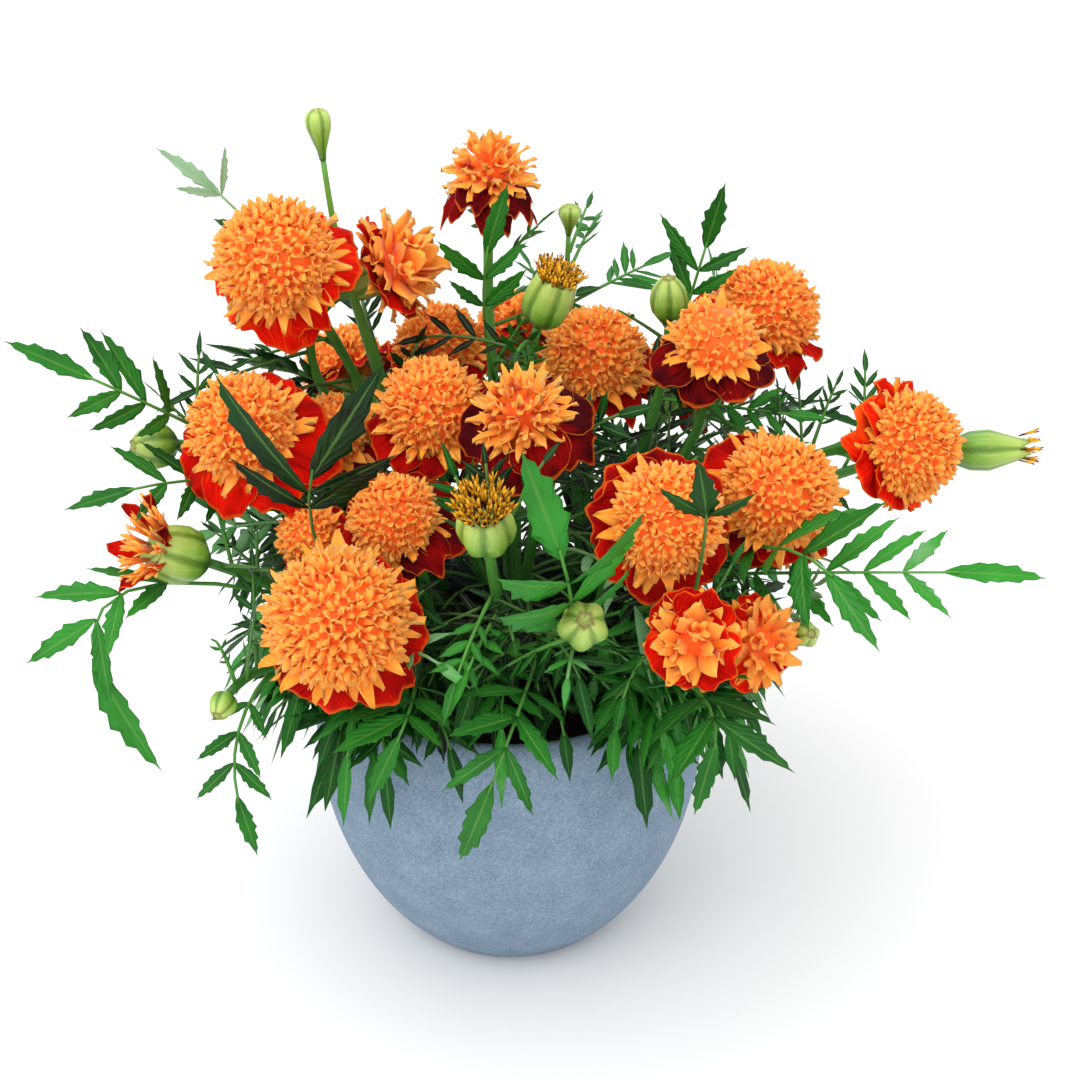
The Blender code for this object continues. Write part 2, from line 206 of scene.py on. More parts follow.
def addTube(bm, points, radii, sides, tone):
    # a closed tapering tube along the points
    uv = bm.loops.layers.uv["UVMap"]
    toneLayer = bm.verts.layers.float["tone"]
    directions = [(b - a).normalized() for a, b in zip(points, points[1:])]
    directions.append(directions[-1])
    matrices = [aimed(p, d) @ Matrix.Scale(r, 4) for p, d, r in zip(points, directions, radii)]
    ring = bmesh.ops.create_circle(bm, cap_ends=True, segments=sides, radius=1, matrix=matrices[0])
    edges = list({edge for vert in ring["verts"] for edge in vert.link_edges})
    fresh = list(ring["verts"])
    for last, matrix in zip(matrices, matrices[1:]):
        made = bmesh.ops.extrude_edge_only(bm, edges=edges)["geom"]
        verts = [g for g in made if isinstance(g, bmesh.types.BMVert)]
        bmesh.ops.transform(bm, matrix=matrix @ last.inverted(), verts=verts)
        edges = [g for g in made if isinstance(g, bmesh.types.BMEdge) and all(v in verts for v in g.verts)]
        fresh += verts
    bmesh.ops.edgeloop_fill(bm, edges=edges)
    for vert in fresh:
        vert[toneLayer] = tone
        for loop in vert.link_loops:
            loop[uv].uv = (0.5, 0.0)


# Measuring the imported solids

def nodePoints(name):
    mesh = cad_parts[name].data
    places = np.empty(len(mesh.vertices) * 3, np.float64)
    mesh.vertices.foreach_get("co", places)
    return np.unique(np.round(places.reshape(-1, 3), 6), axis=0)


def kdOf(points):
    tree = KDTree(len(points))
    for i, point in enumerate(points):
        tree.insert(point, i)
    tree.balance()
    return tree


stemPoints = np.vstack([nodePoints(name) for name in plants])
stemTree = kdOf(stemPoints)


def measureHead(name):
    # foot, facing, length and radius of a round head: its axis is the odd one of its three
    # principal axes, and its foot is the end that meets a stem
    points = nodePoints(name)
    middle = points.mean(axis=0)
    spread, axes = np.linalg.eigh(np.cov((points - middle).T))
    odd = 0 if spread[1] - spread[0] > spread[2] - spread[1] else 2
    axis = axes[:, odd]
    along = (points - middle) @ axis
    ends = [Vector(middle + axis * along.min()), Vector(middle + axis * along.max())]
    if stemTree.find(ends[0])[2] > stemTree.find(ends[1])[2]:
        ends.reverse()
    across = np.linalg.norm((points - middle) - np.outer(along, axis), axis=1)
    foot, top = ends
    return {"foot": foot, "facing": (top - foot).normalized(), "length": (top - foot).length,
            "radius": float(across.max())}


def measureLeaf(name, order):
    # start, bend and tip of a leaf's midline. Ways along the mesh lead from the start, at a
    # stem, to the ends of the leaflets: the tip is the end of the order-th longest of them.
    bm = bmesh.new()
    bm.from_mesh(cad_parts[name].data)
    bmesh.ops.remove_doubles(bm, verts=bm.verts, dist=0.01 * mm)
    bm.verts.index_update()
    bm.verts.ensure_lookup_table()
    start = min(bm.verts, key=lambda vert: stemTree.find(vert.co)[2])
    far, cameFrom, heap = {start.index: 0.0}, {}, [(0.0, start.index)]
    while heap:
        distance, index = heapq.heappop(heap)
        if distance > far[index]:
            continue
        for edge in bm.verts[index].link_edges:
            other = edge.other_vert(bm.verts[index]).index
            reach = distance + edge.calc_length()
            if reach < far.get(other, 1e9):
                far[other], cameFrom[other] = reach, index
                heapq.heappush(heap, (reach, other))
    ends = []
    for index in sorted(far, key=far.get, reverse=True):
        vert = bm.verts[index]
        if all(far[e.other_vert(vert).index] < far[index] + 0.9 * mm for e in vert.link_edges):
            if all((vert.co - other.co).length > 5 * mm for other in ends):
                ends.append(vert)
        if len(ends) > order:
            break
    index = ends[-1].index
    length, total, weight = far[index], Vector(), 0.0
    first, tip = start.co.copy(), bm.verts[index].co.copy()
    while index in cameFrom:
        share = far[index] / length
        pull = 2 * share * (1 - share)
        total += pull * (bm.verts[index].co - first * (1 - share) ** 2 - tip * share ** 2)
        weight += pull * pull
        index = cameFrom[index]
    bm.free()
    return first, total / weight, tip


heads = {name: measureHead(name) for name in blooms}
crestTop = 1.40  # height of a bloom's solid, in crest radii
for head in heads.values():
    head["crest"] = head["length"] / crestTop


# The pot

potLook = {
    "widest": 80 * mm,  # height of its widest level
    "lowerStretch": 97 * mm,  # half-axes of the egg
    "upperStretch": 110 * mm,
    "wall": 5 * mm,
    "floor": 8 * mm,
    "footEdge": 1.6 * mm,
    "steps": 128,
    "paleClay": "#8c9eae",
    "midClay": "#778b9f",
    "darkClay": "#61768b",
    "grain": 0.85,  # millimetres
    "cloud": 9.0,
}


def castFibreClay():
    # Fibre clay cast in a mould and left unglazed: a matte body with fine blue-grey grain,
    # soft clouds from the mix, and pinholes that only a grazing light finds.
    material, tree, shader = newMaterial("castFibreClay", Roughness=0.82, Specular_IOR_Level=0.32)
    place = addNode(tree, "TexCoord").outputs["Object"]
    grain = addNode(tree, "TexNoise", {"Scale": perMetre(potLook["grain"]), "Detail": 4.0, "Roughness": 0.7},
                    {"Vector": place})
    cloud = addNode(tree, "TexNoise", {"Scale": perMetre(potLook["cloud"]), "Detail": 3.0},
                    {"Vector": place})
    mixed = addNode(tree, "Mix", {"Factor": 0.22}, {2: grain, 3: cloud})
    colour = addNode(tree, "ValToRGB", {"stops": [
        (0.36, potLook["darkClay"]), (0.50, potLook["midClay"]), (0.63, potLook["paleClay"])]},
        {"Fac": mixed})
    bump = addNode(tree, "Bump", {"Strength": 0.35, "Distance": 0.25 * mm}, {"Height": grain})
    plug(tree, shader, {"Base Color": colour, "Normal": bump})
    return material


def potRadius(height):
    low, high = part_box("pot")
    above = height - potLook["widest"]
    stretch = potLook["upperStretch"] if above > 0 else potLook["lowerStretch"]
    return (high.x - low.x) / 2 * math.sqrt(1 - (above / stretch) ** 2)


def makePot():
    low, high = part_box("pot")
    top, wall, floor, edge = high.z, potLook["wall"], potLook["floor"], potLook["footEdge"]
    profile = [(0, low.z), (potRadius(0) - edge, low.z), (potRadius(0) - 0.4 * edge, 0.3 * edge)]
    profile += [(potRadius(h), h) for h in np.linspace(edge, top - 2 * mm, 30)]
    lip = wall / 2 - 0.4 * mm
    for turn in np.linspace(0.15, 0.85, 6):  # the lip is rounded over
        across = potRadius(top) - wall / 2 + math.cos(turn * math.pi) * lip
        profile.append((across, top - 2 * mm + math.sin(turn * math.pi) * 2 * mm))
    profile += [(potRadius(h) - wall, h) for h in np.linspace(top - 2.5 * mm, floor + 3 * mm, 20)]
    profile += [(potRadius(floor) - wall - 4 * mm, floor), (0, floor)]
    newPiece("pot_shell", spunBmesh(profile, potLook["steps"]), castFibreClay(), "fibre_clay", "pot")


# The soil

soilLook = {
    "crumbs": 260,
    "crumbSize": (0.8 * mm, 2.4 * mm),
    "lumps": 1.2 * mm,  # how far the surface rises and falls
    "damp": "#140d08",
    "peat": "#2c1e13",
    "bark": "#4a3422",
}


def pottingMix():
    # Damp peat with composted bark: nearly black between crumbs, brown where it has dried.
    material, tree, shader = newMaterial("pottingMix", Roughness=0.95, Specular_IOR_Level=0.2)
    place = addNode(tree, "TexCoord").outputs["Object"]
    lumps = addNode(tree, "TexNoise", {"Scale": perMetre(3.0), "Detail": 6.0, "Roughness": 0.7},
                    {"Vector": place})
    colour = addNode(tree, "ValToRGB", {"stops": [
        (0.35, soilLook["damp"]), (0.55, soilLook["peat"]), (0.72, soilLook["bark"])]}, {"Fac": lumps})
    bump = addNode(tree, "Bump", {"Strength": 0.9, "Distance": 1.0 * mm}, {"Height": lumps})
    plug(tree, shader, {"Base Color": colour, "Normal": bump})
    return material


def makeSoil():
    rng = random.Random(7)
    low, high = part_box("soil")
    radius = (high.x - low.x) / 2 - 1.6 * mm
    edge = high.z - 3 * mm
    profile = [(0, edge - 12 * mm), (radius - 3 * mm, edge - 12 * mm), (radius, edge - 4 * mm)]
    profile += [(radius * s, edge + 3 * mm * (1 - s * s)) for s in np.linspace(1, 0, 26)]
    bm = spunBmesh(profile, 72)
    for vert in bm.verts:
        if vert.co.z > edge - 1 * mm and vert.co.xy.length < 0.97 * radius:
            vert.co.z += noise.fractal(vert.co * perMetre(9), 1.0, 2.0, 3) * soilLook["lumps"] - 0.6 * mm
    for _ in range(soilLook["crumbs"]):
        reach, turn = 0.95 * radius * math.sqrt(rng.random()), rng.uniform(0, math.tau)
        height = edge + 2.2 * mm * (1 - (reach / radius) ** 2)
        place = Vector((reach * math.cos(turn), reach * math.sin(turn), height))
        size = rng.uniform(*soilLook["crumbSize"])
        squash = Matrix.Diagonal((size, size * rng.uniform(0.6, 1), size * rng.uniform(0.4, 0.8), 1))
        bmesh.ops.create_icosphere(bm, subdivisions=1, radius=1,
                                   matrix=Matrix.Translation(place) @ Matrix.Rotation(turn, 4, "X") @ squash)
    newPiece("soil_surface", bm, pottingMix(), "potting_mix", "soil")


# Stems and calyx cups

stemLook = {
    "low": "#1f5016",  # at the soil
    "mid": "#3a7c27",
    "high": "#629d36",  # under the blooms
    "fuller": 0.35 * mm,  # how much rounder a stem is than its solid
    "slimStalks": {"bud_1": 45 * mm, "bud_2": 32 * mm},  # the buds on slim stalks, and how far down
    "slimBy": 0.42,  # how far they are drawn in
    "crease": 52,  # degrees past which an edge stays sharp
    "ridge": 0.7,  # millimetres between ridges
    "calyxLength": 16 * mm,
    "calyxMouth": 5.0 * mm,
    "calyxRibs": 7,
    "calyxFoot": "#34701f",
    "calyxBelly": "#76a534",
    "calyxRim": "#a8bf5c",
    "calyxSeam": "#7fa552",
    "calyxOil": "#d6e08e",
    "calyxTeeth": "#7b5a34",
}


def stemSkin():
    # A living stem: smooth and slightly waxy, with fine ridges along it, lighter and
    # yellower towards the young growth at the top.
    material, tree, shader = newMaterial("stemSkin", Roughness=0.5, Specular_IOR_Level=0.4)
    place = addNode(tree, "TexCoord").outputs["Object"]
    height = addNode(tree, "SeparateXYZ", {}, {0: place}).outputs[2]
    share = addNode(tree, "MapRange", {"From Min": 0.10, "From Max": 0.27}, {"Value": height})
    blotch = addNode(tree, "TexNoise", {"Scale": perMetre(14), "Detail": 3.0}, {"Vector": place})
    mixed = addNode(tree, "Mix", {"Factor": 0.45}, {2: share, 3: blotch})
    colour = addNode(tree, "ValToRGB", {"stops": [
        (0.15, stemLook["low"]), (0.5, stemLook["mid"]), (0.85, stemLook["high"])]}, {"Fac": mixed})
    stretched = addNode(tree, "Mapping", {"Scale": (1, 1, 0.06)}, {"Vector": place})
    ridges = addNode(tree, "TexNoise", {"Scale": perMetre(stemLook["ridge"])}, {"Vector": stretched})
    bump = addNode(tree, "Bump", {"Strength": 0.35, "Distance": 0.2 * mm}, {"Height": ridges})
    plug(tree, shader, {"Base Color": colour, "Normal": bump})
    return material


def calyxSkin():
    # The cup of fused bracts: glossy, translucent yellow-green between darker seams, with
    # pale oil streaks that run along it.
    material, tree, shader = newMaterial("calyxSkin", Roughness=0.42, Specular_IOR_Level=0.45)
    shader.inputs["Subsurface Weight"].default_value = 0.12
    shader.inputs["Subsurface Radius"].default_value = (0.002, 0.003, 0.001)
    uv = addNode(tree, "UVMap", {"uv_map": "UVMap"})
    parts = addNode(tree, "SeparateXYZ", {}, {0: uv})
    base = addNode(tree, "ValToRGB", {"stops": [
        (0.0, stemLook["calyxFoot"]), (0.45, stemLook["calyxBelly"]), (0.9, stemLook["calyxRim"])]},
        {"Fac": parts.outputs[1]})
    tone = addNode(tree, "Attribute", {"attribute_name": "tone"}).outputs["Fac"]
    around = addNode(tree, "Math", {"operation": "MULTIPLY", 1: math.tau}, {0: parts.outputs[0]})
    wave = addNode(tree, "Math", {"operation": "COSINE"}, {0: around})
    seam = addNode(tree, "MapRange", {"From Min": -0.3, "From Max": -1.0, "To Max": 0.8}, {"Value": wave})
    shade = toLinear(stemLook["calyxSeam"])
    dark = addNode(tree, "Mix", {"data_type": "RGBA", "blend_type": "MULTIPLY", 7: shade},
                   {0: seam, 6: base})
    long = addNode(tree, "Mapping", {"Scale": (9, 3, 1)}, {"Vector": uv})
    streak = addNode(tree, "TexNoise", {"Scale": 1.0, "Detail": 2.0}, {"Vector": long})
    pale = addNode(tree, "MapRange", {"From Min": 0.55, "From Max": 0.8, "To Max": 0.35}, {"Value": streak})
    colour = addNode(tree, "Mix", {"data_type": "RGBA", 7: toLinear(stemLook["calyxOil"])},
                     {0: pale, 6: dark.outputs[2]})
    star = addNode(tree, "MapRange", {"From Min": 0.955, "From Max": 1.0, "To Max": 0.8},
                   {"Value": parts.outputs[1]})
    star = addNode(tree, "Math", {"operation": "MULTIPLY"}, {0: star, 1: tone})
    colour = addNode(tree, "Mix", {"data_type": "RGBA", 7: toLinear(stemLook["calyxTeeth"])},
                     {0: star, 6: colour.outputs[2]})
    bump = addNode(tree, "Bump", {"Strength": 0.3, "Distance": 0.3 * mm}, {"Height": wave})
    plug(tree, shader, {"Base Color": colour.outputs[2], "Normal": bump})
    return material


def slimStalk(bm, head, length):
    # draws the stalk under a small bud in towards its own middle
    for vert in bm.verts:
        offset = vert.co - head["foot"]
        along = -offset.dot(head["facing"])
        around = offset + head["facing"] * along
        if -1 * mm < along < length and around.length < 4 * mm:
            vert.co -= around * stemLook["slimBy"] * smoothStep(length, length * 0.6, along)


def makeStems(material):
    for name in plants:
        bm = newBmesh()
        bm.from_mesh(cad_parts[name].data)
        bmesh.ops.remove_doubles(bm, verts=bm.verts, dist=0.005 * mm)
        bmesh.ops.dissolve_limit(bm, angle_limit=math.radians(1), verts=bm.verts, edges=bm.edges)
        bmesh.ops.recalc_face_normals(bm, faces=bm.faces)
        bm.normal_update()
        crease = bm.edges.layers.float.new("crease_edge")
        for edge in bm.edges:
            edge[crease] = 1.0 if edge.calc_face_angle(0.0) > math.radians(stemLook["crease"]) else 0.0
        for vert in bm.verts:
            vert.co += vert.normal * stemLook["fuller"]
        for bud, length in stemLook["slimStalks"].items():
            slimStalk(bm, budHeads[bud], length)
        piece = newPiece(name.replace("_stems", "_branches"), bm, material, "stem_green", name)
        smooth = piece.modifiers.new("roundness", "SUBSURF")
        smooth.levels = smooth.render_levels = 2


def ribbedCup(outline, ribs, rib, steps, rows, teeth, tone):
    # a cup of fused bracts, one unit high: outline gives (along, radius) from the foot
    alongs, radii = zip(*outline)
    profile = [(0, 0)]
    profile += [(float(np.interp(s, alongs, radii)), float(s)) for s in np.linspace(0, 1, rows)]
    profile += [(radii[-1] * 0.6, 0.97), (0, 0.96)]
    bm = spunBmesh(profile, steps)
    for vert in bm.verts:
        turn = math.atan2(vert.co.y, vert.co.x)
        if vert.co.xy.length > 0.01:
            wave = 1 + rib * math.cos(ribs * turn)
            vert.co.x *= wave
            vert.co.y *= wave
        if vert.co.z > 0.985:
            vert.co.z += teeth * max(0.0, math.cos(ribs * turn))
        vert[bm.verts.layers.float["tone"]] = tone
    uv = bm.loops.layers.uv["UVMap"]
    for face in bm.faces:  # U counts the ribs, and a face across the join keeps counting
        turns = [math.atan2(loop.vert.co.y, loop.vert.co.x) / math.tau for loop in face.loops]
        if max(turns) - min(turns) > 0.5:
            turns = [turn + 1 if turn < 0 else turn for turn in turns]
        for loop, turn in zip(face.loops, turns):
            loop[uv].uv = (ribs * turn, loop.vert.co.z)
    bmesh.ops.recalc_face_normals(bm, faces=bm.faces)
    return bm


cupOutline = [(0, 0.26), (0.10, 0.42), (0.24, 0.82), (0.45, 1.08), (0.65, 1.15), (0.85, 1.10), (1.0, 1.02)]


def makeCups(material):
    for number, name in enumerate(blooms, 1):
        head = heads[name]
        cup = ribbedCup(cupOutline, stemLook["calyxRibs"], 0.05, 42, 16, 0.10, 0.0)
        mouth = stemLook["calyxMouth"]
        size = Matrix.Diagonal((mouth, mouth, stemLook["calyxLength"] + 0.8 * mm, 1))
        start = head["foot"] - head["facing"] * stemLook["calyxLength"]
        bmesh.ops.transform(cup, matrix=aimed(start, head["facing"], number) @ size, verts=cup.verts)
        newPiece("calyx_%02d" % number, cup, material, "stem_green")


# Blooms

crestLook = {
    "florets": 190,  # on a crest of the next radius
    "fullRadius": 20 * mm,
    "cover": 106,  # degrees from the top down to the last florets
    "lobes": 4,
    "widestMouth": 2.9 * mm,
    "tube": 0.42,  # a floret's length, in crest radii
    "heart": 0.82,  # the solid heart's radius, in crest radii
    "looseHeart": 0.42,  # the same in an open head
    "loose": 24,  # longer petals round the foot of a crest of the full radius
    "looseWidth": 2.2,
    "templates": 6,
    # The next four stops run from painted shade down the throats to a painted highlight at the lobe tips.
    "paintedShade": "#f46a18",  # down the throats
    "warm": "#ff8a28",
    "light": "#ff9f38",
    "edge": "#ffac48",
    "gold": "#ff9a18",  # of the longer petals
}
rayLook = {
    "count": 8,
    "templates": 6,
    "start": 2.5 * mm,  # where a petal leaves the middle
    "claw": "#e0780c",
    "maroon": "#3c0106",
    "crimson": "#960503",
    "scarlet": "#d81200",
    "ember": "#ee4a12",  # where the brightest petals turn orange
    "edge": "#e2661a",
}
# How red the ray petals are (0 maroon to 1 scarlet), their droop, their count in the outer
# and inner rows and how wildly they stand, how full (1 a dome) and how wide the crest is, and
# how many broad petals stand among its florets, with half their width in millimetres.
bloomLooks = {
    "bloom_01": {"red": 0.84, "droop": 0.75},
    "bloom_02": {"red": 0.5, "droop": 0.0, "fullness": 0.03, "broad": 30, "petal": 3.6, "swell": 1.2},
    "bloom_03": {"red": 0.12, "droop": 1.3, "fullness": 0.15, "swell": 1.25, "broad": 26, "petal": 1.9},
    "bloom_04": {"red": 0.5},
    "bloom_05": {"red": 0.72, "droop": 0.8},
    "bloom_06": {"red": 0.4},
    "bloom_07": {"red": 0.5},
    "bloom_08": {"red": 0.45, "droop": 0.5},
    "bloom_09": {"red": 0.05, "fullness": 0.22, "droop": 0.8, "swell": 1.2, "broad": 34, "petal": 1.6},
    "bloom_10": {"red": 0.5},
    "bloom_11": {"red": 0.0, "droop": 0.8, "fullness": 0.55, "swell": 1.05, "broad": 16, "petal": 1.6},
    "bloom_12": {"red": 0.6},
    "bloom_13": {"red": 0.25, "droop": 0.35},
    "bloom_14": {"red": 0.5, "droop": 0.7},
    "bloom_15": {"red": 0.5, "droop": 0.2},
    "bloom_16": {"red": 0.4},
    "bloom_17": {"red": 0.9, "droop": 0.1},
    "bloom_18": {"red": 0.62, "droop": 0.0, "fullness": 0.02, "swell": 1.25, "broad": 26, "petal": 2.6,
                 "count": 7, "inner": 5, "wild": 1},
    "bloom_19": {"red": 0.7, "fullness": 0.12, "broad": 20, "petal": 2.4, "swell": 1.25},
}


def crestFloret():
    # The crest's tube florets: matte, velvety orange, with a red-orange painted down the throats as shade
    # and a paler painted highlight along each lobe's edge.
    material, tree, shader = newMaterial("crestFloret", Roughness=0.6, Specular_IOR_Level=0.25,
                                         Sheen_Weight=0.15, Subsurface_Weight=0.55)
    shader.inputs["Subsurface Radius"].default_value = (0.005, 0.002, 0.0007)
    uv = addNode(tree, "UVMap", {"uv_map": "UVMap"})
    along = addNode(tree, "SeparateXYZ", {}, {0: uv}).outputs[1]
    place = addNode(tree, "TexCoord").outputs["Object"]
    patch = addNode(tree, "TexNoise", {"Scale": perMetre(6), "Detail": 2.0}, {"Vector": place})
    shifted = addNode(tree, "Math", {"operation": "MULTIPLY_ADD", 1: 0.30, 2: -0.15}, {0: patch})
    level = addNode(tree, "Math", {"operation": "ADD"}, {0: along, 1: shifted})
    # a ramp along each floret from painted shade in its throat to a painted highlight at its lobe tips
    stops = [(0.12, crestLook["paintedShade"]), (0.42, crestLook["warm"]), (0.70, crestLook["light"]),
             (1.0, crestLook["edge"])]
    colour = addNode(tree, "ValToRGB", {"stops": stops}, {"Fac": level})
    tone = addNode(tree, "Attribute", {"attribute_name": "tone"}).outputs["Fac"]
    golden = addNode(tree, "MapRange", {"From Min": 0.6, "From Max": 1.0, "To Max": 0.75}, {"Value": tone})
    mixed = addNode(tree, "Mix", {"data_type": "RGBA", 7: toLinear(crestLook["gold"])},
                    {0: golden, 6: colour})
    plug(tree, shader, {"Base Color": mixed.outputs[2]})
    return material


def rayPetal():
    # Ray petals: velvet that runs from maroon to scarlet, with a thin golden edge and an
    # orange claw, and fine lengthwise veins.
    material, tree, shader = newMaterial("rayPetal", Roughness=0.8, Specular_IOR_Level=0.06)
    uv = addNode(tree, "UVMap", {"uv_map": "UVMap"})
    parts = addNode(tree, "SeparateXYZ", {}, {0: uv})
    tone = addNode(tree, "Attribute", {"attribute_name": "tone"}).outputs["Fac"]
    veins = addNode(tree, "Mapping", {"Scale": (26, 2.5, 1)}, {"Vector": uv})
    streak = addNode(tree, "TexNoise", {"Scale": 1.0, "Detail": 3.0}, {"Vector": veins})
    place = addNode(tree, "TexCoord").outputs["Object"]
    cloud = addNode(tree, "TexNoise", {"Scale": perMetre(16), "Detail": 1.0}, {"Vector": place})
    shade = addNode(tree, "Math", {"operation": "MULTIPLY_ADD", 1: 0.60, 2: -0.38}, {0: streak})
    shade = addNode(tree, "Math", {"operation": "MULTIPLY_ADD", 1: 0.60}, {0: cloud, 2: shade})
    shade = addNode(tree, "Math", {"operation": "MULTIPLY_ADD", 1: 0.72}, {0: tone, 2: shade})
    stops = [(0.25, rayLook["maroon"]), (0.55, rayLook["crimson"]), (0.82, rayLook["scarlet"]),
             (1.0, rayLook["ember"])]
    velvet = addNode(tree, "ValToRGB", {"stops": stops}, {"Fac": shade})
    aside = addNode(tree, "Math", {"operation": "MULTIPLY_ADD", 1: 2.0, 2: -1.0}, {0: parts.outputs[0]})
    aside = addNode(tree, "Math", {"operation": "ABSOLUTE"}, {0: aside})
    outer = addNode(tree, "Math", {"operation": "MAXIMUM"}, {0: aside, 1: parts.outputs[1]})
    rim = addNode(tree, "MapRange", {"From Min": 0.955, "From Max": 1.0, "To Max": 0.75}, {"Value": outer})
    edged = addNode(tree, "Mix", {"data_type": "RGBA", 7: toLinear(rayLook["edge"])}, {0: rim, 6: velvet})
    claw = addNode(tree, "MapRange", {"From Min": 0.42, "From Max": 0.12}, {"Value": parts.outputs[1]})
    colour = addNode(tree, "Mix", {"data_type": "RGBA", 7: toLinear(rayLook["claw"])},
                     {0: claw, 6: edged.outputs[2]})
    bump = addNode(tree, "Bump", {"Strength": 0.4, "Distance": 0.2 * mm}, {"Height": streak})
    plug(tree, shader, {"Base Color": colour.outputs[2], "Normal": bump})
    return material


def floretTemplate(seed):
    # a tube floret's mouth, one unit long and wide: blunt lobes that stand round it and part
    # as they rise
    rng = random.Random(seed)
    bm = newBmesh()
    lobes = crestLook["lobes"]
    grids = [bmesh.ops.create_grid(bm, x_segments=2, y_segments=2, size=1)["verts"] for _ in range(lobes)]
    writeUv(bm, lambda co: (co.x * 0.5 + 0.5, co.y * 0.5 + 0.5))
    for lobe, verts in enumerate(grids):
        turn = Matrix.Rotation(math.tau * (lobe + rng.uniform(-0.2, 0.2)) / lobes, 3, "Z")
        reach, rise, wide = rng.uniform(0.75, 1.30), rng.uniform(0.92, 1.08), rng.uniform(0.85, 1.15)
        for vert in verts:
            across, row = vert.co.x, round(vert.co.y + 1)
            outward = (0.25, 0.48, reach)[row] - 0.10 * abs(across)
            height = (0.28, 0.72, rise - 0.06 * abs(across))[row]
            vert.co = turn @ Vector((outward, across * (0.22, 0.46, 0.26)[row] * wide, height))
    bmesh.ops.solidify(bm, geom=bm.faces, thickness=0.05)
    return asTemplate("floret", bm)


def tongueTemplate(seed, width, rows, columns, teeth, ruffle, taper=0.24):
    # a petal that lies along +Y from a narrow claw to a toothed end, one unit long and wide
    rng = random.Random(seed)
    phase = rng.uniform(0, math.tau)
    bm = newBmesh()
    bmesh.ops.create_grid(bm, x_segments=columns, y_segments=rows, size=1)
    writeUv(bm, lambda co: (co.x * 0.5 + 0.5, co.y * 0.5 + 0.5))
    for vert in bm.verts:
        across, along = vert.co.x, vert.co.y * 0.5 + 0.5
        spread = 0.20 + 0.80 * math.sin(math.pi / 2 * min(1.0, along / width)) ** 1.3
        spread *= 1 - taper * smoothStep(0.70, 1.0, along)
        notch = 0.032 * math.cos(across * math.pi * teeth) * along ** 4
        vert.co.x = across * spread
        vert.co.y = along * (1 - 0.17 * across * across * along) + notch
        wave = math.sin(across * 5.4 + phase) * 0.6 + math.sin(along * 8 + across * 4 + phase * 2) * 0.4
        vert.co.z = ruffle * wave * along ** 1.5 + 0.10 * across * across * (1 - along)
    bmesh.ops.solidify(bm, geom=bm.faces, thickness=0.015)
    return asTemplate("tongue", bm)


def droop(bm, count, matrix, amount, reach):
    # bends the newest petals back towards the stalk with the square of the distance
    inverse = matrix.inverted()
    bm.verts.ensure_lookup_table()
    for vert in bm.verts[count:]:
        local = inverse @ vert.co
        share = local.xy.length / reach
        local.z -= amount * reach * max(0.0, share - 0.25) ** 2
        vert.co = matrix @ local


